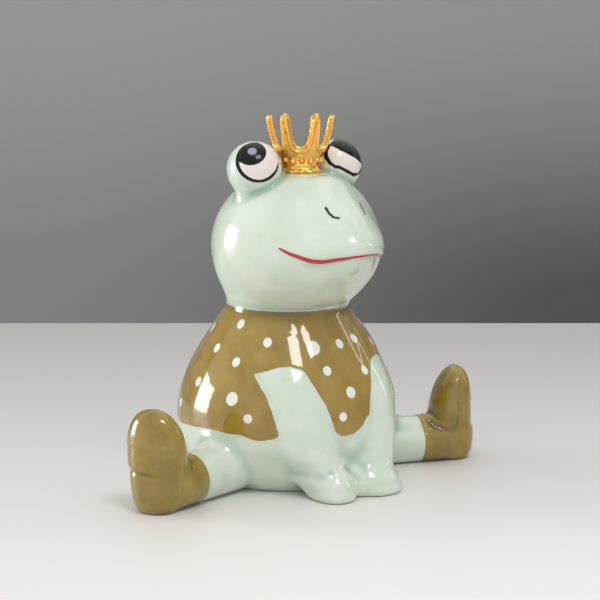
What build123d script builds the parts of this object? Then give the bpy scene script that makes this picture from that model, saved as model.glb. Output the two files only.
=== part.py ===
from build123d import *
import os
from math import cos, pi, radians, sin

# Sitting frog figurine in glazed ceramic, with a small cast crown glued on its head.
# Units are millimetres. The floor is z = 0, the frog faces -Y and its left side is +X.
# The origin is on the floor, under the middle of the body.

# Clay castings
clay_wall = 4.0

# Body casting, a pear that stands on a flat seat
body_height = 52.0
body_radius = 33.6
body_centre_y = 4.8
neck_radius = 18.0
body_height_shares = [0, 0.13, 0.385, 0.60, 0.80]
body_radius_shares = [0.73, 0.90, 1, 0.915, 0.745]
drain_diameter = 8.0
drain_offset = 9.0

# Head casting, a ball drawn out to a snout
head_height = 39.6
head_radius = 25.2
snout_reach = 11.2
snout_sharpness = 17
head_height_shares = [0.164, 0.328, 0.518, 0.740, 0.940]
head_radius_shares = [0.850, 0.968, 0.996, 0.875, 0.530]
head_snout_shares = [0.30, 0.62, 1, 0.68, 0.10]
head_neck_shift_shares = [0.54, 0.20, 0.03, 0, 0]
head_crown_shift_shares = [0, 0, 0, 0, 0.55]

# Eye bulges on top of the head
eye_radius = 8.2
eye_crown_gap = 0.5
eye_height = 1.3
eye_stem_radius = 5.8
eye_stem_length = 12.0

# Arms, from under the sleeves to the hands between the legs
arm_half_width = 8.2
arm_turn_degrees = [43, 39, 33, 24.5, 16]
arm_height_shares = [1, 0.80, 0.57, 0.26, -0.12]
arm_reach_shares = [0.86, 0.89, 0.895, 0.925, 1.12]
arm_shoulder_share = 0.846
arm_width_shares = [0.80, 1.04, 1.07, 0.97, 0.83]
arm_depth_shares = [0.46, 0.55, 0.59, 0.69, 0.72]

# Hands, paddles that lie flat on the floor
hand_half_width = 7.9
hand_half_length = 8.0
hand_height = 8.6
hand_gap = 0.6
hand_clearance = 0.7
hand_squareness = 2.3
hand_height_shares = [0, 0.12, 0.5, 0.8, 1]
hand_size_shares = [0.90, 1, 0.94, 0.72, 0.38]

# Legs, stretched out to the sides
leg_turn = 72.5
leg_start_share = 0.36
left_leg_bare = 8.4
right_leg_bare = 11.0
thigh_radius = 9.3
ankle_radius = 7.4
leg_length_shares = [0, 0.38, 0.72, 1]
leg_taper_shares = [1, 0.88, 0.30, 0]
foot_flat = 0.5

# Boots, standing on their heels with the soles outwards
boot_height = 29.3
boot_width = 18.6
boot_depth = 18.6
boot_turn = 62.0
boot_set_back = 1.5
boot_height_shares = [0, 0.10, 0.33, 0.56, 0.76, 0.93, 1]
boot_heel_shares = [0.30, 0.20, 0.20, 0.24, 0.33, 0.49, 0.64]
boot_sole_shares = [0.92, 0.98, 1, 0.995, 0.975, 0.89, 0.78]
boot_width_shares = [0.62, 0.76, 0.88, 0.96, 0.89, 0.60, 0.20]
boot_squareness = 2.2
boot_instep_share = 0.41
boot_instep_groove = 0.7

# Crown casting
crown_centre_y = -2.1
crown_base_radius = 6.0
crown_wall = 1.1
crown_band_height = 6.4
crown_height = 16.9
crown_tip_radius = 9.1
crown_prong_count = 6
crown_prong_radius = 1.0
crown_ball_radius = 1.15
crown_arch_radius = 2.1
crown_waist_share = 0.94
crown_waist_height_share = 0.25
crown_shoulder_share = 1.06
crown_bead_count = 14
crown_bead_radius = 0.7
crown_bead_height_share = 0.6
crown_turn = -4.3
crown_seat_margin = 0.7
glue_thickness = 1.2

OUTLINE_POINTS = 12
SNOUT_POINTS = 16


# A closed face with a smooth edge through the given points.
def outline(points):
    return make_face(Spline(*points, periodic=True))


# A level oval outline, squarer than an ellipse when squareness is above two.
def rounded(half_width, half_depth, squareness):
    points = []
    for step in range(OUTLINE_POINTS):
        angle = 2 * pi * step / OUTLINE_POINTS
        across, along = cos(angle), sin(angle)
        fullness = (abs(across) ** squareness + abs(along) ** squareness) ** (-1 / squareness)
        points.append((half_width * across * fullness, half_depth * along * fullness))
    return outline(points)


# Radius of the body at a height, read between the listed shares.
def body_radius_at(height):
    heights = [body_height * share for share in body_height_shares] + [body_height]
    radii = [body_radius * share for share in body_radius_shares] + [neck_radius]
    for low, high, start, end in zip(heights, heights[1:], radii, radii[1:]):
        if height <= high:
            return start + (end - start) * (height - low) / (high - low)
    return neck_radius


# The outside of the body, turned about its upright axis.
def body_form():
    side = [(body_radius * share, body_height * height)
            for height, share in zip(body_height_shares, body_radius_shares)]
    curve = Spline(*side, (neck_radius, body_height))
    back = Polyline((neck_radius, body_height), (0, body_height), (0, 0), side[0])
    half = make_face(Plane.XZ * (curve + back))
    return Pos(0, body_centre_y, 0) * revolve(half, Axis.Z)


# The space left when the slip is poured out of the body mould, open to the neck.
def body_cavity():
    points = [(0, clay_wall), (body_radius * body_radius_shares[0] - clay_wall, clay_wall)]
    for height, share in zip(body_height_shares[2:], body_radius_shares[2:]):
        points.append((body_radius * share - clay_wall, body_height * height))
    points += [(neck_radius - clay_wall, body_height), (0, body_height)]
    half = make_face(Plane.XZ * Polyline(*points, close=True))
    return Pos(0, body_centre_y, 0) * revolve(half, Axis.Z)


# One level ring of the head: a circle with a narrow swell at the front.
def head_ring(radius, reach, centre_y, height):
    points = []
    for step in range(SNOUT_POINTS):
        angle = 2 * pi * step / SNOUT_POINTS
        swell = ((1 + cos(angle)) / 2) ** snout_sharpness
        length = radius + reach * swell
        points.append((length * sin(angle), centre_y - length * cos(angle)))
    return Pos(0, 0, height) * outline(points)


# The outside of the head, from the neck joint to the seat of the crown.
def head_form():
    rings = [head_ring(neck_radius, 0, body_centre_y, body_height)]
    for height, radius, snout, neck_shift, crown_shift in zip(
            head_height_shares, head_radius_shares, head_snout_shares,
            head_neck_shift_shares, head_crown_shift_shares):
        centre_y = body_centre_y * neck_shift + crown_centre_y * crown_shift
        rings.append(head_ring(head_radius * radius, snout_reach * snout, centre_y,
                               body_height + head_height * height))
    crown_seat = crown_base_radius + crown_seat_margin
    rings.append(head_ring(crown_seat, 0, crown_centre_y, body_height + head_height))
    return loft(rings)


# A ball on a short stem that sinks into the head.
def eye_bulge(side):
    centre_z = body_height + head_height + eye_height
    ball = Sphere(eye_radius)
    stem = Cylinder(eye_stem_radius, eye_stem_length,
                    align=(Align.CENTER, Align.CENTER, Align.MAX))
    centre_x = crown_base_radius + eye_crown_gap + eye_radius
    return Pos(side * centre_x, 0, centre_z) * (ball + stem)


# The space inside the head, open to the neck.
def head_cavity():
    points = [(0, body_height), (neck_radius - clay_wall, body_height)]
    for height, radius in zip(head_height_shares, head_radius_shares):
        points.append((head_radius * radius - clay_wall,
                       body_height + head_height * height - clay_wall / 2))
    points.append((0, body_height + head_height - clay_wall))
    half = make_face(Plane.XZ * Polyline(*points, close=True))
    return revolve(half, Axis.Z)


def make_head():
    return head_form() + eye_bulge(-1) + eye_bulge(1) - head_cavity()


# The body casting: hollow, with a drain hole through the seat.
def make_body(form):
    drain = Pos(0, body_centre_y + drain_offset, 0) * Cylinder(drain_diameter / 2, 2 * clay_wall)
    return form - body_cavity() - drain


# Everything below the floor, to flatten what stands on it.
def floor_cutter():
    reach = 4 * (leg_length(right_leg_bare) + boot_depth)
    return Box(reach, reach, body_height, align=(Align.CENTER, Align.CENTER, Align.MAX))


# A point beside the body: turn is measured from the front, reach in body radii.
def arm_point(turn, reach, height):
    distance = reach * body_radius_at(height)
    angle = radians(turn)
    return Vector(distance * sin(angle), body_centre_y - distance * cos(angle), height)


# A paddle with a flat underside, modelled about its own middle.
def hand_form():
    rings = []
    for height, size in zip(hand_height_shares, hand_size_shares):
        rings.append(Pos(0, 0, hand_height * height) * rounded(
            hand_half_width * size, hand_half_length * size, hand_squareness))
    return loft(rings)


# An oval arm that follows the belly down to its hand, cut to sit on the body.
def make_arm(form):
    wrist = hand_height
    shoulder = body_height * arm_shoulder_share
    points = []
    for turn, reach, share in zip(arm_turn_degrees, arm_reach_shares, arm_height_shares):
        points.append(arm_point(turn, reach, wrist + (shoulder - wrist) * share))
    path = Spline(*points)
    sections = []
    for point, turn, width, depth in zip(points, arm_turn_degrees, arm_width_shares,
                                         arm_depth_shares):
        tangent = path.tangent_at(path.param_at_point(point))
        outward = Vector(sin(radians(turn)), -cos(radians(turn)), 0)
        plane = Plane(point, x_dir=tangent.cross(outward), z_dir=tangent)
        sections.append(plane * Ellipse(arm_half_width * width, arm_half_width * depth))
    seat_front = body_centre_y - body_radius * body_radius_shares[0]
    hand = Pos(hand_half_width + hand_gap / 2,
               seat_front - hand_clearance - hand_half_length, 0) * hand_form()
    return loft(sections) + hand - floor_cutter() - form


# Distance from the axis of the body to the ankle: the bare part starts at the body's side.
def leg_length(bare):
    return body_radius + bare


# A plane across the leg, at a distance from the upright axis of the body.
def leg_frame(distance, height):
    angle = radians(leg_turn)
    along = Vector(sin(angle), -cos(angle), 0)
    start = Vector(0, body_centre_y, height)
    return Plane(start + along * distance, x_dir=(cos(angle), sin(angle), 0), z_dir=along)


# A round leg that narrows to the ankle and lies on the floor.
def make_leg(form, length):
    sections = []
    for place, taper in zip(leg_length_shares, leg_taper_shares):
        radius = ankle_radius + (thigh_radius - ankle_radius) * taper
        distance = length * (leg_start_share + (1 - leg_start_share) * place)
        sections.append(leg_frame(distance, radius - foot_flat) * Circle(radius))
    return loft(sections) - floor_cutter() - form


# A boot: a short ankle as wide as the leg, and a foot that stands upright on its heel.
def make_boot(length):
    ankle = leg_frame(length, ankle_radius - foot_flat) * Cylinder(
        ankle_radius, boot_depth / 2, align=(Align.CENTER, Align.CENTER, Align.MIN))
    across = Vector(cos(radians(boot_turn)), sin(radians(boot_turn)), 0)
    sections = []
    for height, heel, sole, width in zip(boot_height_shares, boot_heel_shares,
                                         boot_sole_shares, boot_width_shares):
        middle = leg_frame(length + boot_depth * (heel + sole) / 2, boot_height * height).origin
        middle += across * boot_set_back
        sections.append(Plane(middle, x_dir=across, z_dir=(0, 0, 1)) * rounded(
            boot_width * width / 2, boot_depth * (sole - heel) / 2, boot_squareness))
    reach = 2 * boot_height
    leg_side = leg_frame(length, 0) * Box(
        reach, 2 * reach, reach, align=(Align.CENTER, Align.CENTER, Align.MAX))
    instep = Plane(leg_frame(length + boot_depth, boot_height * boot_instep_share).origin,
                   x_dir=(0, 0, 1), z_dir=across) * Cylinder(boot_instep_groove, boot_width)
    return ankle + loft(sections) - floor_cutter() - leg_side - instep


# The crown: a flared band with round arches cut in its edge, and a ball on each prong.
def make_crown():
    waist = crown_base_radius * crown_waist_share
    waist_height = crown_band_height * crown_waist_height_share
    shoulder = crown_base_radius * crown_shoulder_share
    rise = crown_height - crown_ball_radius
    top = crown_band_height + 2 * crown_arch_radius
    lean = (crown_tip_radius - shoulder) / (rise - crown_band_height)
    flare = shoulder + lean * (top - crown_band_height)
    profile = [
        (crown_base_radius - crown_wall, 0),
        (crown_base_radius, 0),
        (waist, waist_height),
        (shoulder, crown_band_height),
        (flare, top),
        (flare - crown_wall, top),
        (shoulder - crown_wall, crown_band_height),
        (waist - crown_wall, waist_height),
    ]
    crown = revolve(make_face(Plane.XZ * Polyline(*profile, close=True)), Axis.Z)
    pitch = 360 / crown_prong_count
    for number in range(crown_prong_count):
        arch = Rot(0, 0, pitch * (number + 0.5)) * Pos(
            crown_tip_radius / 2, 0, crown_band_height + crown_arch_radius)
        crown -= arch * Rot(0, 90, 0) * Cylinder(crown_arch_radius, crown_tip_radius)
        crown -= arch * Box(crown_tip_radius, 2 * crown_arch_radius, 2 * crown_arch_radius,
                            align=(Align.CENTER, Align.CENTER, Align.MIN))
    foot = Vector(shoulder - crown_wall / 2, 0, crown_band_height)
    tip = Vector(crown_tip_radius, 0, rise)
    rod = Plane(foot, z_dir=tip - foot) * Cylinder(
        crown_prong_radius, (tip - foot).length, align=(Align.CENTER, Align.CENTER, Align.MIN))
    prong = rod + Pos(crown_tip_radius, 0, rise) * Sphere(crown_ball_radius)
    for number in range(crown_prong_count):
        crown += Rot(0, 0, pitch * number) * prong
    bead_height = crown_band_height * crown_bead_height_share
    bead_ring = waist + (shoulder - waist) * (bead_height - waist_height) / (
        crown_band_height - waist_height)
    for number in range(crown_bead_count):
        crown += Rot(0, 0, 360 * number / crown_bead_count) * Pos(
            bead_ring, 0, bead_height) * Sphere(crown_bead_radius)
    return Pos(0, crown_centre_y, body_height + head_height) * Rot(0, 0, crown_turn - 90) * crown


# The drop of glue inside the foot of the crown.
def make_glue(crown):
    disc = Cylinder(crown_base_radius - crown_wall, glue_thickness,
                    align=(Align.CENTER, Align.CENTER, Align.MIN))
    return Pos(0, crown_centre_y, body_height + head_height) * disc - crown


form = body_form()
arm = make_arm(form)
crown = make_crown()
pieces = {
    "body": make_body(form),
    "head": make_head(),
    "left_arm": arm,
    "right_arm": mirror(arm, about=Plane.YZ),
    "left_leg": make_leg(form, leg_length(left_leg_bare)),
    "right_leg": mirror(make_leg(form, leg_length(right_leg_bare)), about=Plane.YZ),
    "left_boot": make_boot(leg_length(left_leg_bare)),
    "right_boot": mirror(make_boot(leg_length(right_leg_bare)), about=Plane.YZ),
    "crown": crown,
    "crown_glue": make_glue(crown),
}

os.makedirs("parts", exist_ok=True)
for name, piece in pieces.items():
    export_step(piece, f"parts/{name}.step")
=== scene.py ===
import math

import bmesh
import bpy
import numpy as np
from mathutils import Matrix, Vector
from mathutils.bvhtree import BVHTree


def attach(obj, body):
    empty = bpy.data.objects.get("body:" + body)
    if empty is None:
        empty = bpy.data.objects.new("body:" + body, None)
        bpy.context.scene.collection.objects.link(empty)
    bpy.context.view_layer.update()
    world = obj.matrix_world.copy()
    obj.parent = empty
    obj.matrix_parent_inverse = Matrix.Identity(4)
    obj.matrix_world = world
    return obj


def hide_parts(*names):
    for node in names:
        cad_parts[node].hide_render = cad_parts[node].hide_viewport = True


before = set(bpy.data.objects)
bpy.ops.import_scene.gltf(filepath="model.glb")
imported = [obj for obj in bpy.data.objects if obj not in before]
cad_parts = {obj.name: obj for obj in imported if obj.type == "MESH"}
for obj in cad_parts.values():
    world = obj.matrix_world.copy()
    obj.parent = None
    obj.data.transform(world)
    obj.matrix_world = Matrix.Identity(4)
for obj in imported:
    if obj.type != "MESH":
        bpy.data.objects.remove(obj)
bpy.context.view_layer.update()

# ---- Camera ----
# The photograph is taken from half a metre away, a little above the figurine and to its
# right, with a long lens. Sizes in this file are millimetres unless a name says otherwise.
MM = 0.001
TARGET = Vector((-2.0, -4.8, 54.0))
CAMERA_TURN, CAMERA_RISE, CAMERA_DISTANCE = -34.3, 9.4, 501.5


def direction(turn, rise):
    """A unit vector: turn is measured from the front towards the frog's left."""
    turn, rise = math.radians(turn), math.radians(rise)
    return Vector((math.sin(turn) * math.cos(rise), -math.cos(turn) * math.cos(rise),
                   math.sin(rise)))


def aimed(thing, turn, rise, distance):
    """Puts a camera or a light at a distance from the target and points it there."""
    out = direction(turn, rise)
    thing.location = (TARGET + out * distance) * MM
    thing.rotation_mode = "QUATERNION"
    thing.rotation_quaternion = (-out).to_track_quat("-Z", "Y")
    bpy.context.scene.collection.objects.link(thing)


lens = bpy.data.cameras.new("camera")
lens.lens, lens.sensor_width = 102.0, 36.0
lens.clip_start, lens.clip_end = 0.01, 20.0
camera = bpy.data.objects.new("camera", lens)
aimed(camera, CAMERA_TURN, CAMERA_RISE, CAMERA_DISTANCE)
bpy.context.scene.camera = camera


# ---- Light ----
# A tall window stands to the left, soft lamps hang above the front and behind on the right,
# and a narrow window is far to the right. The pale walls of the room fill the shadows.
def softbox(name, turn, rise, distance, width, height, power, colour=(1.0, 1.0, 1.0)):
    """A flat soft light that faces the target. Its power is in watts."""
    lamp = bpy.data.lights.new(name, "AREA")
    lamp.shape, lamp.size, lamp.size_y = "RECTANGLE", width * MM, height * MM
    lamp.energy, lamp.color = power, colour
    aimed(bpy.data.objects.new(name, lamp), turn, rise, distance)


softbox("window_left", turn=-134, rise=5, distance=900, width=330, height=400, power=4.5,
        colour=(1.0, 0.985, 0.96))
softbox("lamp_above", turn=-8, rise=57, distance=900, width=280, height=220, power=2.2,
        colour=(1.0, 0.99, 0.97))
softbox("lamp_behind", turn=122, rise=50, distance=900, width=1200, height=900, power=1.9)
softbox("window_right", turn=76, rise=20, distance=1000, width=90, height=420, power=0.3)


def linear(hex_colour):
    """The linear colour of an sRGB hex value."""
    channels = [int(hex_colour[i:i + 2], 16) / 255 for i in (1, 3, 5)]
    return (*[c / 12.92 if c <= 0.04045 else ((c + 0.055) / 1.055) ** 2.4
              for c in channels], 1.0)


def node(tree, kind, settings=None, links=None):
    """Adds a shader node: settings are values, and links are sources, by input or name.

    Map Range takes its two ranges at inputs 1 to 4, and Mix its two colours at 6 and 7.
    """
    made = tree.nodes.new(kind)
    for name, value in (settings or {}).items():
        if isinstance(name, int) or name in made.inputs:
            made.inputs[name].default_value = value
        else:
            setattr(made, name, value)
    for name, source in (links or {}).items():
        tree.links.new(source, made.inputs[name])
    return made


def gradient(tree, place, way, start, end, low, high):
    """A colour that goes from low to high between two distances along one way."""
    along = node(tree, "ShaderNodeVectorMath", {"operation": "DOT_PRODUCT", 1: way}, {0: place})
    share = node(tree, "ShaderNodeMapRange", {1: start, 2: end, "interpolation_type": "SMOOTHSTEP"},
                 {0: along.outputs["Value"]})
    mixed = node(tree, "ShaderNodeMix", {"data_type": "RGBA"}, {0: share.outputs[0]})
    for place_in, colour in ((6, low), (7, high)):
        if isinstance(colour, tuple):
            mixed.inputs[place_in].default_value = colour
        else:
            tree.links.new(colour, mixed.inputs[place_in])
    return mixed.outputs[2]


room = bpy.data.worlds.new("room")
room.use_nodes = True
tree = room.node_tree
bright, dim = (0.89, 0.90, 0.92, 1.0), (0.38, 0.38, 0.38, 1.0)
tree.links.new(gradient(tree, node(tree, "ShaderNodeTexCoord").outputs["Generated"],
                        direction(-66, 22), -0.75, 0.65, dim, bright),
               tree.nodes["Background"].inputs["Color"])
tree.nodes["Background"].inputs["Strength"].default_value = 0.94
bpy.context.scene.world = room
bpy.context.scene.view_settings.view_transform = "Standard"


# ---- Table and wall ----
# A pale laminate table top, painted darker towards its far side as painted shade, and a grey wall
# well behind it, painted darker low down as painted shade. Neither is part of the figurine. The far
# edge of the table is where the photograph has it.
def new_material(name):
    """A material with only its shader and output, its tree, and the shader."""
    material = bpy.data.materials.new(name)
    material.use_nodes = True
    return material, material.node_tree, material.node_tree.nodes["Principled BSDF"]


def placed(name, mesh_maker, material):
    """Turns a bmesh into an object at the origin, with one material."""
    mesh = bpy.data.meshes.new(name)
    mesh_maker.to_mesh(mesh)
    mesh_maker.free()
    mesh.materials.append(material)
    made = bpy.data.objects.new(name, mesh)
    bpy.context.scene.collection.objects.link(made)
    return made


table_far, table_near, table_width = 262.0, -900.0, 3000.0
laminate, tree, shader = new_material("table_laminate_painted_shade")
away = -direction(CAMERA_TURN, 0)
shader.inputs["Roughness"].default_value = 0.42
# The laminate is painted darker towards its far side, away from the camera: painted shade where the
# light falls off.
tree.links.new(gradient(tree, node(tree, "ShaderNodeTexCoord").outputs["Object"], away,
                        -0.25, 0.30, linear("#f7f5f2"), linear("#b8b5b2")),
               shader.inputs["Base Color"])
sheet = bmesh.new()
bmesh.ops.create_grid(sheet, x_segments=1, y_segments=1, size=0.5)
bmesh.ops.scale(sheet, vec=(table_width * MM, (table_far - table_near) * MM, 1),
                verts=sheet.verts)
bmesh.ops.translate(sheet, vec=(0, (table_far + table_near) / 2 * MM, 0), verts=sheet.verts)
bmesh.ops.rotate(sheet, cent=(0, 0, 0), verts=sheet.verts,
                 matrix=Matrix.Rotation(math.radians(CAMERA_TURN), 3, "Z"))
bmesh.ops.translate(sheet, vec=(TARGET.x * MM, TARGET.y * MM, 0), verts=sheet.verts)
table = placed("table", sheet, laminate)

paint, tree, shader = new_material("wall_paint_and_painted_shade")
shader.inputs["Roughness"].default_value = 0.9
place, across = node(tree, "ShaderNodeTexCoord").outputs["Object"], direction(CAMERA_TURN + 90, 0)
# The wall is painted darker towards the bottom, and low down darker still towards the frog's left:
# painted shade of the room.
lower = gradient(tree, place, across, -0.25, 0.27, linear("#7b7b7a"), linear("#4b4a46"))
upper = gradient(tree, place, across, -0.25, 0.27, linear("#919090"), linear("#8e8d8a"))
tree.links.new(gradient(tree, place, (0, 0, 1), -0.13, 0.16, lower, upper),
               shader.inputs["Base Color"])
wall_distance, wall_width, wall_height = 1000.0, 5000.0, 2600.0
sheet = bmesh.new()
bmesh.ops.create_grid(sheet, x_segments=1, y_segments=1, size=0.5,
                      matrix=Matrix.Rotation(math.radians(90), 4, "X"))
bmesh.ops.scale(sheet, vec=(wall_width * MM, 1, wall_height * MM), verts=sheet.verts)
bmesh.ops.translate(sheet, vec=(0, wall_distance * MM, 0), verts=sheet.verts)
bmesh.ops.rotate(sheet, cent=(0, 0, 0), verts=sheet.verts,
                 matrix=Matrix.Rotation(math.radians(CAMERA_TURN), 3, "Z"))
wall = placed("wall", sheet, paint)


# ---- Fired clay ----
# The eight slip-cast pieces are luted together with liquid clay while they are leather-hard,
# sponged smooth at the joins and fired as one. So the surface runs over every join in a soft
# fillet, and each casting below is cut out of this one surface. GRAIN is the size of its faces.
CASTINGS = ["body", "head", "left_arm", "right_arm", "left_leg", "right_leg",
            "left_boot", "right_boot"]
GRAIN = 0.55
BODY_CENTRE = np.array([0.0, 4.8])
HEAD_CENTRE = np.array([0.0, 1.0, 74.0])
NECK_CUT, COLLAR_HEIGHT, LEG_TURN = 51.0, 52.1, 72.5
LEFT_ANKLE, RIGHT_ANKLE = 42.0, 44.6


def fused(meshes, grain, rounds):
    """One surface round several closed meshes, with every join sponged smooth."""
    clay = bmesh.new()
    for mesh in meshes:
        clay.from_mesh(mesh)
    joined = bpy.data.meshes.new("joined")
    clay.to_mesh(joined)
    clay.free()
    holder = bpy.data.objects.new("joined", joined)
    bpy.context.scene.collection.objects.link(holder)
    remesh = holder.modifiers.new("luting", "REMESH")
    remesh.mode, remesh.voxel_size = "VOXEL", grain * MM
    sponge = holder.modifiers.new("sponging", "SMOOTH")
    sponge.factor, sponge.iterations = 0.5, rounds
    surface = bpy.data.meshes.new_from_object(
        holder.evaluated_get(bpy.context.evaluated_depsgraph_get()))
    bpy.data.objects.remove(holder)
    return surface


castings = []
for name in CASTINGS:
    copy = bmesh.new()
    copy.from_mesh(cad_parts[name].data)
    bmesh.ops.remove_doubles(copy, verts=copy.verts, dist=1e-7)
    for face in copy.faces:
        face.material_index = CASTINGS.index(name)
    castings.append(bpy.data.meshes.new(name))
    copy.to_mesh(castings[-1])
    copy.free()

# Lumps of clay pressed on by hand: the heels of the hands, the thumbs, and the filled
# joint between the two hands. Each is a place and three half sizes.
lumps = [((7.6, -25.2, 9.0), (7.2, 5.4, 5.2)), ((-7.6, -25.2, 9.0), (7.2, 5.4, 5.2)),
         ((8.2, -28.8, 3.6), (7.9, 7.6, 4.2)), ((-8.2, -28.8, 3.6), (7.9, 7.6, 4.2)),
         ((-14.4, -24.6, 5.6), (3.4, 4.8, 4.0)), ((5.6, -26.0, 8.4), (3.0, 3.4, 3.4)),
         ((0.0, -25.0, 4.6), (5.4, 7.6, 5.4)), ((0.0, -21.5, 9.0), (6.5, 6.5, 6.5)),
         ((1.6, -30.0, 3.0), (4.8, 4.2, 3.7)), ((13.4, -31.6, 2.2), (2.9, 2.7, 2.2))]
pressed = bmesh.new()
for middle, sizes in lumps:
    bmesh.ops.create_icosphere(
        pressed, subdivisions=4, radius=MM,
        matrix=Matrix.Translation(Vector(middle) * MM) @ Matrix.Diagonal((*sizes, 1)))
# The heel of each boot is filled out towards the ankle. The legs start at the hip, which is
# the body's axis, and each goes its own way from there.
hip = Vector((0, BODY_CENTRE[1], 0))
left_way, right_way = direction(LEG_TURN, 0), direction(-LEG_TURN, 0)
for way, ankle in ((left_way, LEFT_ANKLE), (right_way, RIGHT_ANKLE)):
    bmesh.ops.create_icosphere(
        pressed, subdivisions=4, radius=MM,
        matrix=Matrix.Translation((hip + way * (ankle + 5.0) + Vector((0, 0, 6.0))) * MM)
        @ Matrix.Diagonal((7.6, 7.6, 5.9, 1)))
# Two rolls of clay fill the joint of the neck under the chin.
neck_radius, roll_radius = 17.1, 1.5
for roll_height in (52.1, 53.5):
    roll = bmesh.ops.create_circle(
        pressed, segments=16, radius=roll_radius * MM,
        matrix=Matrix.Translation(Vector((neck_radius, BODY_CENTRE[1], roll_height)) * MM)
        @ Matrix.Rotation(math.radians(90), 4, "X"))["verts"]
    bmesh.ops.spin(
        pressed, geom=roll + list({edge for vert in roll for edge in vert.link_edges}),
        cent=Vector((0, BODY_CENTRE[1], roll_height)) * MM, axis=(0, 0, 1),
        angle=math.radians(360), steps=96, use_merge=True)
bmesh.ops.recalc_face_normals(pressed, faces=pressed.faces)
castings.append(bpy.data.meshes.new("pressed_clay"))
pressed.to_mesh(castings[-1])
pressed.free()
skin = fused(castings, GRAIN, rounds=14)
castings.pop()

# The surface is cut along the neck and the two ankles, where the lutings are straight.
clay = bmesh.new()
clay.from_mesh(skin)
for spot, normal in ((Vector((0, 0, NECK_CUT)), Vector((0, 0, 1))),
                     (hip + left_way * LEFT_ANKLE, left_way),
                     (hip + right_way * RIGHT_ANKLE, right_way)):
    bmesh.ops.bisect_plane(clay, geom=clay.verts[:] + clay.edges[:] + clay.faces[:],
                           plane_co=spot * MM, plane_no=normal, dist=1e-6)
# Tiny bubbles that the remesh leaves where two castings touch are taken out.
reached, front = set(), [max(clay.verts, key=lambda vert: vert.co.x)]
while front:
    vert = front.pop()
    if vert not in reached:
        reached.add(vert)
        front.extend(edge.other_vert(vert) for edge in vert.link_edges)
bmesh.ops.delete(clay, geom=[vert for vert in clay.verts if vert not in reached],
                 context="VERTS")
# Every face belongs to the casting that it lies nearest to, but the cuts come first: nothing
# on the near side of a cut belongs to the boot or the head beyond it.
beyond = {"left_boot": "left_leg", "right_boot": "right_leg", "head": "body"}
luted = bmesh.new()
for mesh in castings:
    luted.from_mesh(mesh)
nearest = BVHTree.FromBMesh(luted)
luted.faces.ensure_lookup_table()
for face in clay.faces:
    centre = face.calc_center_median()
    if centre.z > NECK_CUT * MM:
        name = "head"
    elif (centre - hip * MM).dot(left_way) > LEFT_ANKLE * MM:
        name = "left_boot"
    elif (centre - hip * MM).dot(right_way) > RIGHT_ANKLE * MM:
        name = "right_boot"
    else:
        name = CASTINGS[luted.faces[nearest.find_nearest(centre)[2]].material_index]
        name = beyond.get(name, name)
    face.material_index = CASTINGS.index(name)
luted.free()
# A corner where a casting would touch itself at one point goes to the body. That can make a
# new corner next to it, so this is done up to six times.
beyond_a_cut = {CASTINGS.index(name) for name in beyond}
for _ in range(6):
    knots = 0
    for vert in clay.verts:
        kinds = {face.material_index for face in vert.link_faces}
        if len(kinds) > 1 and any(
                sum(sum(face.material_index == kind for face in edge.link_faces) == 1
                    for edge in vert.link_edges) > 2 for kind in kinds):
            knots += 1
            for face in vert.link_faces:
                if face.material_index not in beyond_a_cut:
                    face.material_index = CASTINGS.index("body")
    if not knots:
        break
clay.to_mesh(skin)
clay.free()

# ---- Shaping of the clay ----
# The face, the sleeves and the hands are modelled in the plaster moulds: a mouth line under
# an overhanging lip, the hem as a low step, and two soft folds. All distances are millimetres.
def soft(value, low, high):
    """Rises smoothly from zero to one as the value goes from low to high."""
    share = np.clip((value - low) / (high - low), 0, 1)
    return share * share * (3 - 2 * share)


def hill(value, middle, width):
    """A smooth bump that is one where the value is at the middle."""
    return np.exp(-((value - middle) / width) ** 2)


def rows(mesh, kind):
    """The vertex positions in millimetres, or the vertex normals, as rows of x, y, z."""
    values = np.zeros(len(mesh.vertices) * 3)
    mesh.vertices.foreach_get(kind, values)
    return values.reshape(-1, 3) * (1000.0 if kind == "co" else 1.0)


def moved(mesh, spots):
    """Puts the vertices at new places, given in millimetres."""
    mesh.vertices.foreach_set("co", (spots * MM).ravel())
    mesh.update()


def spread(values, mesh, rounds):
    """Averages a value per vertex with its neighbours', a number of times."""
    ends = np.zeros(len(mesh.edges) * 2, dtype=np.int64)
    mesh.edges.foreach_get("vertices", ends)
    ends = ends.reshape(-1, 2)
    here, there = np.concatenate([ends, ends[:, ::-1]]).T
    number = np.maximum(np.bincount(here, minlength=len(values)), 1)
    for _ in range(rounds):
        around = np.bincount(here, weights=values[there], minlength=len(values)) / number
        values = (values + around) / 2
    return values


def settle(spots, mesh, rounds):
    """The places that the vertices take when each is averaged with its neighbours."""
    return np.stack([spread(spots[:, axis], mesh, rounds) for axis in range(3)], axis=1)


spot, out = rows(skin, "co"), rows(skin, "normal")
# The arms sink into the shirt towards the shoulders. The back of the body has no arms, so its
# girth at every level says how far the arms stand out at the front.
from_axis = spot[:, :2] - BODY_CENTRE
radius = np.linalg.norm(from_axis, axis=1)
turn = np.degrees(np.arctan2(from_axis[:, 0], -from_axis[:, 1]))
behind = (np.abs(turn) > 120) & ((from_axis * out[:, :2]).sum(axis=1) > 0)
levels = np.arange(20, 51, 1.0)
girth = [radius[behind & (np.abs(spot[:, 2] - level) < 0.5)].mean() for level in levels]
proud = np.maximum(radius - np.interp(spot[:, 2], levels, girth), 0)
sunk = proud * 0.75 * soft(spot[:, 2], 27, 40) * (spot[:, 2] < 51) * (np.abs(turn) < 70)
spot[:, :2] -= from_axis / np.maximum(radius, 1)[:, None] * sunk[:, None]
moved(skin, spot)
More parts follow.
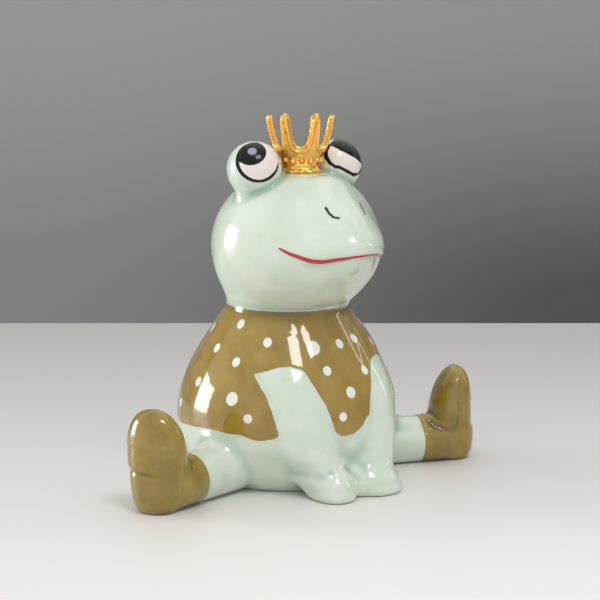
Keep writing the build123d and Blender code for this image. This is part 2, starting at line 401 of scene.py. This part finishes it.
# Round the arms, the hands and the thighs the joins are sponged wider than elsewhere.
settled = settle(spot, skin, 160)
swept = soft(-spot[:, 1], 4, 14) * soft(-spot[:, 2], -50, -43) * soft(spot[:, 2], 0.4, 3.4) \
    * (np.abs(spot[:, 0]) < 27)
swept = np.maximum(swept, soft(-spot[:, 2], -24, -18) * soft(spot[:, 2], 1, 5)
                   * soft(-radius, -40, -37) * soft(radius, 26, 30) * (spot[:, 1] < 12))
spot = spot + (settled - spot) * 0.75 * swept[:, None]
# The rolls at the neck are sponged into the chin and the collar, and the boots all round.
settled = settle(spot, skin, 30)
swept = soft(spot[:, 2], 51.1, 52.0) * soft(-spot[:, 2], -57.5, -54.5)
swept = np.maximum(swept, 0.7 * soft(np.abs(spot[:, 0]), 44, 48))
spot = spot + (settled - spot) * 0.9 * swept[:, None]
# The right hand is drawn in on its outer side.
drawn = soft(-spot[:, 0], 3, 15) * soft(-spot[:, 1], 17, 27) * soft(-spot[:, 2], -13, -6)
spot[:, 0] += 2.6 * drawn
moved(skin, spot)
spot, out = rows(skin, "co"), rows(skin, "normal")
from_axis = spot[:, :2] - BODY_CENTRE
turn = np.degrees(np.arctan2(from_axis[:, 0], -from_axis[:, 1]))
height = spot[:, 2]
# The head and the body are hollow, and only their outside is shaped and painted.
outside = np.where(height > NECK_CUT, ((spot - HEAD_CENTRE) * out).sum(axis=1),
                   (from_axis * out[:, :2]).sum(axis=1)
                   + np.maximum(0, -out[:, 2]) * 3 * (height < 3)) > 0


def to_line(places, corners):
    """The distance from every place, in two or three numbers, to an open line of corners."""
    nearest_yet = np.full(len(places), 1e9)
    for start, end in zip(np.array(corners[:-1]), np.array(corners[1:])):
        run = end - start
        share = np.clip((places - start) @ run / (run @ run), 0, 1)
        nearest_yet = np.minimum(nearest_yet, np.linalg.norm(
            places - start - share[:, None] * run, axis=1))
    return nearest_yet


def within(places, corners):
    """The distance to a closed outline: above zero inside it, and below zero outside."""
    across, up = places.T
    crossed = np.zeros(len(across), dtype=bool)
    for (x0, y0), (x1, y1) in zip(corners, corners[1:] + corners[:1]):
        if y0 != y1:
            crossed ^= ((y0 > up) != (y1 > up)) & (
                across < x0 + (up - y0) * (x1 - x0) / (y1 - y0))
    away = to_line(places, corners + corners[:1])
    return np.where(crossed, away, -away)


# The hem, as turn round the body against height, and the outline of a bare forearm. On the
# body, which is about 30 mm in radius there, a degree of turn is SHIRT_SCALE millimetres.
SHIRT_SCALE = math.radians(30)
hem = [(-180, 17.6), (-150, 18), (-120, 17.3), (-104, 17.4), (-90, 18.2), (-76, 18.9),
       (-63, 18.4), (-57, 18.3), (-51, 17.2), (-47, 17.1), (-40, 17.9), (-30, 18),
       (-9, 18.2), (-5, 17.7), (1, 17.9), (6, 19.6), (10, 22), (14, 20), (40, 18),
       (60, 18.4), (80, 18.8), (104, 17.6), (120, 17.9), (150, 17.4), (180, 17.6)]
forearm = [(-53.5, 35.4), (-46, 36.5), (-39, 37.6), (-32, 37.8), (-26, 37), (-24, 36.3),
           (-19, 32), (-14, 26.9), (-11, 21.7), (-9.5, 18.2), (-9, 10), (-37, 10),
           (-37.5, 18), (-38.5, 20), (-41.5, 25.6), (-45, 29.8), (-49, 32.5)]
on_shirt = np.stack([-np.abs(turn) * SHIRT_SCALE, height], axis=1)
bare = within(on_shirt, [(angle * SHIRT_SCALE, up) for angle, up in forearm])
above_hem = height - np.interp(turn, *zip(*hem))
corner_radius = 1.9
corner = corner_radius - np.hypot(np.maximum(corner_radius - above_hem, 0),
                                  np.maximum(corner_radius + bare, 0))
shirt = np.minimum.reduce([above_hem, -bare, corner, COLLAR_HEIGHT - height])

# The skin beside the hem and the sleeves lies a step below the shirt.
step = 0.22
relief = -step * np.exp(-np.maximum(-shirt, 0) / 2.5) * (1 - soft(shirt, -0.35, 0.35))
relief *= soft(height, 2, 6)
# A fold at each elbow stands up, and one down from the collar is a shallow hollow.
for fold, rise, width in (
        (((-56, 35), (-50, 31.5), (-45, 27.5), (-42, 25.5)), 0.45, 1.5),
        (((-24, 49.5), (-21, 42.9), (-19, 35.7)), -0.12, 1.6)):
    away = to_line(on_shirt, [(angle * SHIRT_SCALE, up) for angle, up in fold])
    relief += rise * hill(away, 0, width) * (height < NECK_CUT)

# The side of the body is a little flatter behind the left arm.
relief -= 1.2 * hill(turn, 60, 14) * soft(height, 8, 13) * soft(-height, -40, -33)

# The snout is drawn in above its tip, and the jaw under it is full.
side, forward = np.abs(spot[:, 0]), -spot[:, 1]
relief -= 1.5 * hill(side, 11, 8) * hill(height, 79, 6.5) * soft(forward, 6, 16)
relief -= 1.0 * hill(side, 0, 7) * hill(height, 77, 5) * soft(forward, 20, 28)
relief += 1.0 * hill(side, 13, 9) * hill(height, 60.5, 5) * soft(forward, 4, 14)
# The mouth runs from corner to corner of the wide snout.
lips = [(0, 70.3), (4.1, 70.1), (7.5, 69.5), (10.7, 68.6), (12.6, 68.7), (14.3, 69.4),
        (16.6, 70.6), (18.6, 72.2), (20, 73.6)]
above_lips = height - np.interp(side, *zip(*lips))
face_side = (height > 58) & (height < 82) & (forward > -2) & outside
lip_reach = np.where(face_side, np.interp(
    side, [0, 4, 9, 13, 16.6, 18.2, 19.0], [0.34, 0.42, 0.66, 0.66, 0.54, 0.38, -0.5]), -1)
mouth_fade = face_side * soft(-side, -19.5, -14)
relief -= 0.28 * hill(above_lips, 0, 0.7) * mouth_fade
# The lip hangs over the jaw, more on the left.
leftward = soft(spot[:, 0], -3, 6)
jaw = np.maximum((0.9 + 1.0 * leftward) * soft(-side, -18, -12), 0.45)
relief -= jaw * soft(-above_lips, 0.3, 1.6) \
    * hill(np.maximum(-above_lips, 0), 0, 4 + 2.5 * leftward) * mouth_fade
# A thumb pressed a pit and a crease into the wet clay of the right hand.
for mark, depth, width in ((((-9.6, -31.6, 8.4), (-9.1, -31.9, 7.9)), 0.4, 1.1),
                           (((-3.2, -30.4, 8.5), (-0.2, -32.7, 5.3)), 0.3, 0.9)):
    relief -= depth * hill(to_line(spot, mark), 0, width)
flat_spot = spot
spot = spot + out * (relief * outside)[:, None]

# The left eye is a little smaller than the right one, and stands nearer to the crown.
LEFT_EYE = np.array([14.7, 0, 92.9])
ray = spot - LEFT_EYE
near = soft(-np.linalg.norm(ray, axis=1), -11.5, -8.4)[:, None] * outside[:, None]
spot = spot - near * ([0.4, 0, 0.2] + 0.4 * ray / np.linalg.norm(ray, axis=1)[:, None])

# The sole has a crease that starts in a notch at its back edge, and the cuff stands out a
# little from the leg.
for way, ankle in ((left_way, LEFT_ANKLE), (right_way, RIGHT_ANKLE)):
    way = np.array(way)
    back = np.array([-way[1], way[0], 0]) * np.sign(way[0])
    along = (spot[:, :2] - BODY_CENTRE) @ way[:2] - ankle
    across = (spot[:, :2] - BODY_CENTRE) @ back[:2]
    crease = hill(height - 0.086 * across, 11.5, 0.5) * soft(across, -5, -1)
    notch = hill(across, 8.6, 1.7) * hill(height, 11.2, 1.1)
    sole = soft(along, 10, 13)
    spot = spot - np.outer((0.6 * crease + 0.9 * notch) * sole, way)
    rise = 0.35 * soft(along, -0.3, 0.3) * soft(-along, -3.4, -1.0) * soft(height, 1, 4)
    spot = spot + out * (rise * (along > -2))[:, None]
# The foot of the cast is rubbed flat on a board.
spot[:, 2] = np.maximum(spot[:, 2], 0)
moved(skin, spot)

spot, out = rows(skin, "co"), rows(skin, "normal")
# How deep each place lies in a hollow: there the clay lies below the middle of what is round it.
# The glazes are darker there, partly where glaze pools and partly as painted shade.
hollow_depth = spread(((settle(spot, skin, 40) - spot) * out).sum(axis=1), skin, 6)

# ---- Painting ----
# The colours are glazes brushed on before the second firing. Each painted edge is a
# distance in millimetres, kept on the clay, so that it stays sharp from near by.
def store(mesh, name, values):
    """Keeps a number per vertex under a name that the materials read."""
    mesh.attributes.new(name, "FLOAT", "POINT").data.foreach_set(
        "value", values.astype(np.float32))


store(skin, "shirt", shirt)
store(skin, "hollow_depth", hollow_depth)
store(skin, "lip_height", above_lips)
store(skin, "lip_reach", lip_reach)
# Each dot has a turn round the body, a height and a radius.
dots = [(-113, 45.1, 1.3), (-75, 48, 1.3), (-48, 43.9, 1.3), (-88, 40.8, 1.3), (-67, 38.1, 1.3),
        (-121, 29.9, 1.3), (-64, 28.3, 1.9), (-107, 23.4, 1.3), (-54, 23.3, 1.3),
        (-16, 42.3, 1.9), (5, 42.7, 1.3), (21, 43.4, 1.3), (-10, 36.1, 1.3), (17, 34.8, 1.3),
        (2, 29.7, 1.6), (-5, 23.3, 1.3), (-92, 31, 1.4), (-138, 39, 1.5), (-150, 26, 1.3),
        (-158, 46, 1.3), (-176, 34, 1.6), (-170, 22, 1.3), (172, 44, 1.3), (160, 28, 1.5),
        (148, 38, 1.3), (136, 23, 1.3), (128, 46, 1.4), (120, 32, 1.6), (104, 40, 1.3),
        (98, 24, 1.4), (86, 47, 1.3), (80, 33, 1.5), (67, 41, 1.3), (60, 26, 1.4),
        (52, 46, 1.3), (56, 35.5, 1.3), (-140, 47.5, 1.2), (20, 26, 1.3), (44, 41, 1.3)]
dotted = np.full(len(spot), -9.0)
for angle, up, radius in dots:
    middle = [math.sin(math.radians(angle)), -math.cos(math.radians(angle))]
    across = (from_axis @ [-middle[1], middle[0]]) * np.where(from_axis @ middle > 0, 1, 99)
    dotted = np.maximum(dotted, radius - np.hypot(across, height - up))
store(skin, "dotted", np.where(outside, dotted, -9.0))


def facing(centre, axis):
    """Angles right and up from an axis through an eye, in degrees, seen from outside."""
    axis = np.array(axis) / np.linalg.norm(axis)
    right = np.cross([0, 0, 1.0], -axis)
    right *= np.sign(right[0]) / np.linalg.norm(right)
    up = np.cross(axis, right)
    up *= np.sign(up[2])
    ray = spot - centre
    length = np.linalg.norm(ray, axis=1)
    ray /= length[:, None]
    angle = np.degrees(np.arccos(np.clip(ray @ axis, -1, 1)))
    flat = ray - np.outer(ray @ axis, axis)
    flat /= np.maximum(np.linalg.norm(flat, axis=1), 1e-9)[:, None]
    near = (length < 11.5) & (height > 82) & ((ray * out).sum(axis=1) > 0)
    return angle * (flat @ right), angle * (flat @ up), near


# On an eye, which is 8.2 mm in radius, a degree is EYE_SPAN millimetres. The right eye has a
# round white with a black line of changing width round it, and a big round pupil with a glint.
EYE_SPAN, UNPAINTED = math.radians(8.2), -60
across, up, near = facing((-14.7, 0, 92.9), (-0.445, -0.837, 0.320))
eye_radius, pupil_radius, glint_radius = 50.5, 33.5, 9.5
from_middle = np.hypot(across - 4.5, up - 8.5)
line_angle = np.degrees(np.arctan2(up - 8.5, across - 4.5)) % 360
line_width = np.interp(line_angle, [0, 110, 130, 180, 225, 270, 315, 352, 360],
                       [0, 0, 5, 9, 8, 6.5, 7.5, 4.5, 0])
pupil = pupil_radius - np.hypot(across + 11, up - 28)
rim = np.where(near, eye_radius - from_middle, UNPAINTED) * EYE_SPAN
white = np.where(near, np.minimum(eye_radius - line_width - from_middle, -pupil),
                 UNPAINTED) * EYE_SPAN
glint = np.where(near, glint_radius - np.hypot(across + 8, up - 26), UNPAINTED) * EYE_SPAN

# The left eye looks up, so its white is a crooked band under a wide black pupil.
across, up, near = facing((14.3, 0, 92.7), (-0.04, -0.88, 0.47))
far_rim = [(-23, 44), (-39, 34), (-51, 21), (-54, 5), (-48, -13), (-35, -25), (-26, -28),
           (-7, -40), (15, -49), (34, -44), (45, -38), (58, -20), (62, 5), (58, 30),
           (45, 50), (20, 62), (-5, 60)]
far_white = [(-30, 34), (-43, 21), (-47, 7), (-43, -10), (-35, -20), (-27, -22), (-13, -31),
             (9, -42), (30, -42), (42, -32), (52, -18), (32, -15), (3, -2), (-16, 12),
             (-26, 26)]
on_eye = np.stack([across, up], axis=1)
rim = np.maximum(rim, np.where(near, within(on_eye, far_rim) + 2, UNPAINTED) * EYE_SPAN)
white = np.maximum(white, np.where(near, within(on_eye, far_white) - 0.5, UNPAINTED) * EYE_SPAN)
store(skin, "eye_rim", rim)
store(skin, "eye_white", white)
store(skin, "eye_glint", glint)

# The nostrils are two short brush strokes. Their lines lie on the face before its relief.
nostrils = ([(-6, -23.5, 83.8), (-6.3, -25.5, 82.6), (-6, -27.3, 81.7), (-4.9, -28.4, 81.5)],
            [(8.5, -20.8, 84.1), (7.4, -23.6, 83), (6.6, -26.1, 81.7)])
nostril_width = 0.84
store(skin, "nostril", nostril_width / 2 - np.minimum(*[to_line(flat_spot, line)
                                                        for line in nostrils]))
# The normals of the whole skin are kept too, so that no luting shows as a crease.
smooth_out = skin.attributes.new("smooth_out", "FLOAT_VECTOR", "POINT")
smooth_out.data.foreach_set("vector", out.ravel().astype(np.float32))


def layer(tree, under, name, colour, edge=0.07, wobble=0.0):
    """Lays a paint over a colour where the stored distance of that name is above zero."""
    distance = node(tree, "ShaderNodeAttribute", {"attribute_name": name}).outputs["Fac"]
    if wobble:
        place = node(tree, "ShaderNodeTexCoord").outputs["Object"]
        noise = node(tree, "ShaderNodeTexNoise", {"Scale": 500.0, "Detail": 2.0}, {0: place})
        shift = node(tree, "ShaderNodeMath", {"operation": "MULTIPLY_ADD", 1: wobble,
                                              2: -wobble / 2}, {0: noise.outputs["Fac"]})
        distance = node(tree, "ShaderNodeMath", {}, {0: distance, 1: shift.outputs[0]}
                        ).outputs[0]
    mask = node(tree, "ShaderNodeMapRange", {1: -edge, 2: edge}, {0: distance}).outputs[0]
    mixed = node(tree, "ShaderNodeMix", {"data_type": "RGBA"}, {0: mask, 6: under})
    if isinstance(colour, tuple):
        mixed.inputs[7].default_value = colour
    else:
        tree.links.new(colour, mixed.inputs[7])
    return mixed.outputs[2], mask


def glaze_colour(tree, thin, thick, pooled_and_shaded, patch, depth):
    """A glaze in cloudy patches of a size in millimetres, and deep in colour in the hollows, where
    glaze pools and where shade is painted in.
    """
    place = node(tree, "ShaderNodeTexCoord").outputs["Object"]
    cloud = node(tree, "ShaderNodeTexNoise", {"Scale": 1 / (patch * MM), "Detail": 3.0},
                 {0: place}).outputs["Fac"]
    share = node(tree, "ShaderNodeMapRange", {1: 0.35, 2: 0.65}, {0: cloud}).outputs[0]
    body = node(tree, "ShaderNodeMix", {"data_type": "RGBA", 6: linear(thin),
                                        7: linear(thick)}, {0: share}).outputs[2]
    depth_in_hollow = node(tree, "ShaderNodeAttribute", {"attribute_name": "hollow_depth"}).outputs["Fac"]
    share = node(tree, "ShaderNodeMapRange", {1: 0.02, 2: depth}, {0: depth_in_hollow}).outputs[0]
    return node(tree, "ShaderNodeMix", {"data_type": "RGBA", 7: linear(pooled_and_shaded)},
                {0: share, 6: body}).outputs[2]


def glassy(tree, shader, sheen=0.03):
    """Fired glaze: a clear glassy coat whose surface waves very slightly."""
    shader.inputs["IOR"].default_value = 1.5
    shader.inputs["Specular IOR Level"].default_value = 0.15
    shader.inputs["Coat Weight"].default_value = 1.0
    shader.inputs["Coat Roughness"].default_value = sheen
    shader.inputs["Coat IOR"].default_value = 1.55
    place = node(tree, "ShaderNodeTexCoord").outputs["Object"]
    wave = node(tree, "ShaderNodeTexNoise", {"Scale": 170.0, "Detail": 2.0}, {0: place})
    bump = node(tree, "ShaderNodeBump", {"Strength": 0.35, "Distance": 0.00018},
                {"Height": wave.outputs["Fac"]})
    for name in ("Normal", "Coat Normal"):
        tree.links.new(bump.outputs[0], shader.inputs[name])
    rough = node(tree, "ShaderNodeMapRange", {1: 0.3, 2: 0.7, 3: 0.16, 4: 0.26},
                 {0: wave.outputs["Fac"]})
    tree.links.new(rough.outputs[0], shader.inputs["Roughness"])


# ---- Cutting out ----
# Each casting is a closed piece of its own. It is closed along its luting, by a face that lies
# just inside the body, so it needs the body's own surface there.
body_clay = bmesh.new()
body_clay.from_mesh(castings[CASTINGS.index("body")])
on_body = BVHTree.FromBMesh(body_clay)
body_clay.free()
LUTING_DEPTH, RIM_DEPTH = 0.9, 0.5


def cut_out(name, label, material):
    """Makes one casting: its part of the clay, closed where it was luted to the others."""
    clay = bmesh.new()
    clay.from_mesh(skin)
    number = CASTINGS.index(name)
    bmesh.ops.delete(clay, geom=[face for face in clay.faces if face.material_index != number],
                     context="FACES")
    ring = [edge for edge in clay.edges if edge.is_boundary
            and edge.verts[0].co.z > (NECK_CUT - 2) * MM]
    if ring:
        bmesh.ops.bridge_loops(clay, edges=ring)
    # The other rims turn in under the surface, and the luting face lies just inside the body.
    rim = [edge for edge in clay.edges if edge.is_boundary]
    turned = bmesh.ops.extrude_edge_only(clay, edges=rim)["geom"]
    outward = clay.verts.layers.float_vector["smooth_out"]
    for vert in turned:
        if isinstance(vert, bmesh.types.BMVert):
            vert.co -= vert[outward] * RIM_DEPTH * MM
    closed = bmesh.ops.holes_fill(
        clay, edges=[edge for edge in clay.edges if edge.is_boundary], sides=0)["faces"]
    closed = bmesh.ops.triangulate(clay, faces=closed)["faces"]
    for longest in (6, 3):
        wide = {edge for face in closed for edge in face.edges
                if edge.calc_length() > longest * MM and not edge.is_boundary}
        halved = bmesh.ops.subdivide_edges(clay, edges=list(wide), cuts=1)["geom_inner"]
        for vert in halved:
            if isinstance(vert, bmesh.types.BMVert):
                from_hip = Vector((vert.co.x, vert.co.y, 0)) - hip * MM
                if from_hip.length < 38 * MM and vert.co.z > 0.5 * MM:
                    start = hip * MM + from_hip.normalized() * 60 * MM
                    start.z = vert.co.z
                    found = on_body.ray_cast(start, -from_hip.normalized())[0]
                    if found:
                        vert.co = found - from_hip.normalized() * LUTING_DEPTH * MM
        closed = bmesh.ops.triangulate(
            clay, faces=list({face for vert in halved if isinstance(vert, bmesh.types.BMVert)
                              for face in vert.link_faces} | {f for f in closed if f.is_valid})
        )["faces"]
    bmesh.ops.recalc_face_normals(clay, faces=clay.faces)
    for face in clay.faces:
        face.material_index, face.smooth = 0, True
    mesh = bpy.data.meshes.new(label)
    clay.to_mesh(mesh)
    clay.free()
    normals = np.zeros(len(mesh.vertices) * 3, dtype=np.float32)
    mesh.attributes["smooth_out"].data.foreach_get("vector", normals)
    mesh.normals_split_custom_set_from_vertices(normals.reshape(-1, 3))
    mesh.materials.clear()
    mesh.materials.append(material)
    piece = bpy.data.objects.new(label, mesh)
    bpy.context.scene.collection.objects.link(piece)
    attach(piece, "root")
    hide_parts(name)


# ---- Body ----
# The hollow slip-cast body is the lower half of the cast. An ochre shirt glaze with pale
# round dots is brushed over the celadon, which stays bare below the hem.
def clothed_colour(tree):
    """Celadon, with the ochre shirt glaze and its dots over it above the hem."""
    # The third colour of each glaze is for its hollows: deeper where glaze pools, and darker as
    # painted shade.
    bare_skin = glaze_colour(tree, "#d6dfd0", "#cbd8c5", "#9ab5a2", patch=9.0, depth=0.28)
    ochre = glaze_colour(tree, "#a0843a", "#907529", "#5c4716", patch=6.0, depth=0.30)
    ochre, _ = layer(tree, ochre, "dotted", linear("#e4e8dc"), wobble=0.15)
    return layer(tree, bare_skin, "shirt", ochre, wobble=0.25)[0]


clothed, tree, shader = new_material("celadon_and_ochre_glaze")
glassy(tree, shader)
tree.links.new(clothed_colour(tree), shader.inputs["Base Color"])
cut_out("body", "body_casting", clothed)

# ---- Head ----
# A hollow slip-cast head with two bulging eyes, luted to the neck. Its pale celadon glaze
# is painted with a coral mouth, black nostrils and black and cream eyes.
celadon, tree, shader = new_material("celadon_glaze_painted_face")
glassy(tree, shader, sheen=0.10)
colour = clothed_colour(tree)
colour, painted = layer(tree, colour, "eye_rim", linear("#060504"), wobble=0.12)
gloss = node(tree, "ShaderNodeMapRange", {3: 1.0, 4: 0.3}, {0: painted})
tree.links.new(gloss.outputs[0], shader.inputs["Coat Weight"])
colour, _ = layer(tree, colour, "eye_white", linear("#e6ddd4"), wobble=0.10)
colour, _ = layer(tree, colour, "eye_glint", linear("#9a9ca6"), edge=0.2)
colour, _ = layer(tree, colour, "nostril", linear("#1a1614"))
lip_height = node(tree, "ShaderNodeAttribute", {"attribute_name": "lip_height"})
lip_size = node(tree, "ShaderNodeMath", {"operation": "ABSOLUTE"},
                {0: lip_height.outputs["Fac"]})
lip_reach = node(tree, "ShaderNodeAttribute", {"attribute_name": "lip_reach"})
lip = node(tree, "ShaderNodeMath", {"operation": "SUBTRACT"},
           {0: lip_reach.outputs["Fac"], 1: lip_size.outputs[0]})
share = node(tree, "ShaderNodeMapRange", {1: -0.12, 2: 0.12}, {0: lip.outputs[0]})
mixed = node(tree, "ShaderNodeMix", {"data_type": "RGBA", 7: linear("#b02a22")},
             {0: share.outputs[0], 6: colour})
tree.links.new(mixed.outputs[2], shader.inputs["Base Color"])
cut_out("head", "head_casting", celadon)

# ---- Arms ----
# Two solid arms, mirror images, lie on the sides of the belly and end in hands that rest
# on the edge of the seat. The sleeves are pushed up, so the forearms are bare.
cut_out("left_arm", "left_arm_casting", clothed)
cut_out("right_arm", "right_arm_casting", clothed)

# ---- Legs ----
# Two short legs stick out to the sides and end at the tops of the boots.
cut_out("left_leg", "left_leg_casting", clothed)
cut_out("right_leg", "right_leg_casting", clothed)

# ---- Boots ----
# Two fat round boots with their soles turned outwards, luted to the legs and covered with
# a plain ochre glaze.
boot_glaze, tree, shader = new_material("ochre_glaze")
glassy(tree, shader)
# The third colour is for the hollows: deeper where glaze pools, and darker as painted shade.
colour = glaze_colour(tree, "#9a8236", "#876e24", "#5a4512", patch=7.0, depth=0.30)
tree.links.new(colour, shader.inputs["Base Color"])
cut_out("left_boot", "left_boot_casting", boot_glaze)
cut_out("right_boot", "right_boot_casting", boot_glaze)

# ---- Crown ----
# A small cast zinc crown, plated bright gold and glued to the head. Six prongs have raised rims
# that run down into the next arch, and beads go round the band above a scalloped foot.
CROWN_BASE = Vector((0, -2.1, 91.6))
CROWN_TURN, PRONGS, BEADS, SCALLOPS = -94.3, 6, 14, 13


def band_place(angle, radius, up):
    """A place on the crown, in millimetres: an angle from its first prong."""
    angle = math.radians(angle + CROWN_TURN)
    return CROWN_BASE + Vector((radius * math.cos(angle), radius * math.sin(angle), up))


# Half of a prong's outline: how far out from its middle line, and how high. The prongs lean
# outwards: each height has a distance from the axis.
prong_side = [(3.5, 6.3), (2.8, 6.4), (2.15, 6.75), (1.6, 7.5), (1.25, 8.6), (1.08, 10),
              (1.0, 12), (0.92, 13.5), (0.85, 15.1), (0.66, 15.9), (0.0, 16.3)]
lean = [(4.6, 5.9), (5.5, 6.3), (7, 7.05), (10, 7.9), (13.5, 8.75), (15.75, 9.1), (17, 9.25)]


def prong_place(number, sideways, up, depth):
    """A place on a prong: sideways from its middle line, and depth in front of it.

    A prong is bent round the band at its foot, and is flat from 11 mm up.
    """
    radius = float(np.interp(up, *zip(*lean))) + depth
    angle = number * 360 / PRONGS
    bent = band_place(angle + math.degrees(sideways / radius), radius, up)
    beside = band_place(angle + 90, sideways, 0) - CROWN_BASE
    return bent.lerp(band_place(angle, radius, up) + beside, min(max((up - 9) / 2, 0), 1))


# Each prong has a front and a back rim, and a thin web that fills it between them.
rim_radius, rim_depth, web_depth = 0.45, 0.52, 0.42
rims = bpy.data.curves.new("rims", "CURVE")
rims.dimensions, rims.bevel_depth, rims.bevel_resolution = "3D", rim_radius * MM, 3
rims.resolution_u, rims.use_fill_caps = 6, True
outline = [(-s, u) for s, u in prong_side] + [(s, u) for s, u in prong_side[-2::-1]]
web_side = [(3.2, 4.6)] + prong_side[1:-1]
webs = bmesh.new()
for number in range(PRONGS):
    for depth in (rim_depth, -rim_depth):
        spline = rims.splines.new("NURBS")
        spline.points.add(len(outline) - 1)
        for point, (sideways, up) in zip(spline.points, outline):
            point.co = (*prong_place(number, sideways, up, depth) * MM, 1)
        spline.order_u, spline.use_endpoint_u = 3, True
    # The web is a flat grid with a row for each height of its outline, made thick.
    back = bmesh.ops.create_grid(webs, x_segments=2, y_segments=len(web_side) - 1, size=1)["verts"]
    front = bmesh.ops.extrude_face_region(
        webs, geom=list({face for vert in back for face in vert.link_faces}))["geom"]
    for verts, depth in ((back, -web_depth), (front, web_depth)):
        for vert in verts:
            if isinstance(vert, bmesh.types.BMVert):
                sideways, up = web_side[round((vert.co.y + 1) / 2 * (len(web_side) - 1))]
                vert.co = prong_place(number, sideways * vert.co.x, up, depth) * MM
bmesh.ops.recalc_face_normals(webs, faces=webs.faces)
rim_holder = bpy.data.objects.new("rims", rims)
bpy.context.scene.collection.objects.link(rim_holder)
webs_mesh = bpy.data.meshes.new("webs")
webs.to_mesh(webs_mesh)
webs.free()
rims_mesh = bpy.data.meshes.new_from_object(
    rim_holder.evaluated_get(bpy.context.evaluated_depsgraph_get()))
bpy.data.objects.remove(rim_holder)

# The band is its profile, as distances from the axis and heights, turned round the axis.
band = bmesh.new()
profile = [(4.9, 0.0), (6.3, 0.0), (6.55, 0.35), (6.5, 0.8), (5.9, 1.3), (5.65, 2.0),
           (5.75, 2.9), (5.9, 4.0), (6.2, 5.0), (6.6, 6.0), (6.7, 6.5), (5.9, 6.5),
           (5.2, 4.8), (4.8, 3.0), (4.65, 1.8)]
ring = [band.verts.new(band_place(0, radius, up) * MM) for radius, up in profile]
band.faces.new(ring)
bmesh.ops.spin(band, geom=band.verts[:] + band.edges[:] + band.faces[:],
               cent=CROWN_BASE * MM, axis=(0, 0, 1), angle=math.radians(360), steps=120,
               use_merge=True)
bmesh.ops.delete(band, geom=[face for face in band.faces if len(face.verts) > 4],
                 context="FACES_ONLY")
bmesh.ops.recalc_face_normals(band, faces=band.faces)
# The beads are large and small in turn, and each prong ends in a small round knob.
balls = [(band_place(360 * number / BEADS, 6.0, (3.5, 3.7)[number % 2]), (0.92, 0.74)[number % 2])
         for number in range(BEADS)]
balls += [(prong_place(number, 0, 15.6, 0), 0.86) for number in range(PRONGS)]
for middle, radius in balls:
    bmesh.ops.create_icosphere(band, subdivisions=3, radius=radius * MM,
                               matrix=Matrix.Translation(middle * MM))
band_mesh = bpy.data.meshes.new("band")
band.to_mesh(band_mesh)
band.free()
metal = fused([band_mesh, rims_mesh, webs_mesh], 0.17, rounds=3)
# The foot of the band goes in and out in scallops.
spot = rows(metal, "co")
from_base = spot - np.array(CROWN_BASE)
angle = np.arctan2(from_base[:, 1], from_base[:, 0]) - math.radians(CROWN_TURN)
push = 0.26 * np.cos(angle * SCALLOPS) * hill(from_base[:, 2], 0, 1.1)
radial = from_base * [1, 1, 0] / np.linalg.norm(from_base[:, :2], axis=1)[:, None]
moved(metal, spot + radial * push[:, None])
metal.shade_smooth()
spot = rows(metal, "co")
# How deep each place on the crown lies in a hollow; the plating is painted brown there as painted
# shade.
store(metal, "hollow_depth", ((settle(spot, metal, 12) - spot) * rows(metal, "normal")).sum(axis=1))

# Bright gold plating on cast zinc: a warm mirror, a little duller in patches, and painted brown in
# the hollows as painted shade.
plating, tree, shader = new_material("gold_plated_zinc")
shader.inputs["Metallic"].default_value = 1.0
place = node(tree, "ShaderNodeTexCoord").outputs["Object"]
wear = node(tree, "ShaderNodeTexNoise", {"Scale": 900.0, "Detail": 4.0}, {0: place})
tone = node(tree, "ShaderNodeMix", {"data_type": "RGBA", 6: linear("#ffd27c"),
                                    7: linear("#f0ac48")}, {0: wear.outputs["Fac"]})
# The hollows of the crown are painted brown: painted shade.
hollow = node(tree, "ShaderNodeAttribute", {"attribute_name": "hollow_depth"}).outputs["Fac"]
share = node(tree, "ShaderNodeMapRange", {1: 0.01, 2: 0.13}, {0: hollow})
tone = node(tree, "ShaderNodeMix", {"data_type": "RGBA", 7: linear("#b4741f")},
            {0: share.outputs[0], 6: tone.outputs[2]})
tree.links.new(tone.outputs[2], shader.inputs["Base Color"])
rough = node(tree, "ShaderNodeMapRange", {3: 0.10, 4: 0.26}, {0: wear.outputs["Fac"]})
tree.links.new(rough.outputs[0], shader.inputs["Roughness"])
bump = node(tree, "ShaderNodeBump", {"Strength": 0.25, "Distance": 0.00008},
            {"Height": wear.outputs["Fac"]})
tree.links.new(bump.outputs[0], shader.inputs["Normal"])
metal.materials.clear()
metal.materials.append(plating)
crown = bpy.data.objects.new("gilt_crown", metal)
bpy.context.scene.collection.objects.link(crown)
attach(crown, "root")
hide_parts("crown")

# ---- Crown glue ----
# A drop of clear epoxy under the crown fixes it to the glaze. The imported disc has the
# right shape and stays.
epoxy, tree, shader = new_material("clear_epoxy")
shader.inputs["IOR"].default_value = 1.5
shader.inputs["Roughness"].default_value = 0.12
place = node(tree, "ShaderNodeTexCoord").outputs["Object"]
cloud = node(tree, "ShaderNodeTexNoise", {"Scale": 600.0}, {0: place})
tone = node(tree, "ShaderNodeMix", {"data_type": "RGBA", 6: linear("#e9e4cf"),
                                    7: linear("#d8cfae")}, {0: cloud.outputs["Fac"]})
tree.links.new(tone.outputs[2], shader.inputs["Base Color"])
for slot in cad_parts["crown_glue"].material_slots:
    slot.material = epoxy
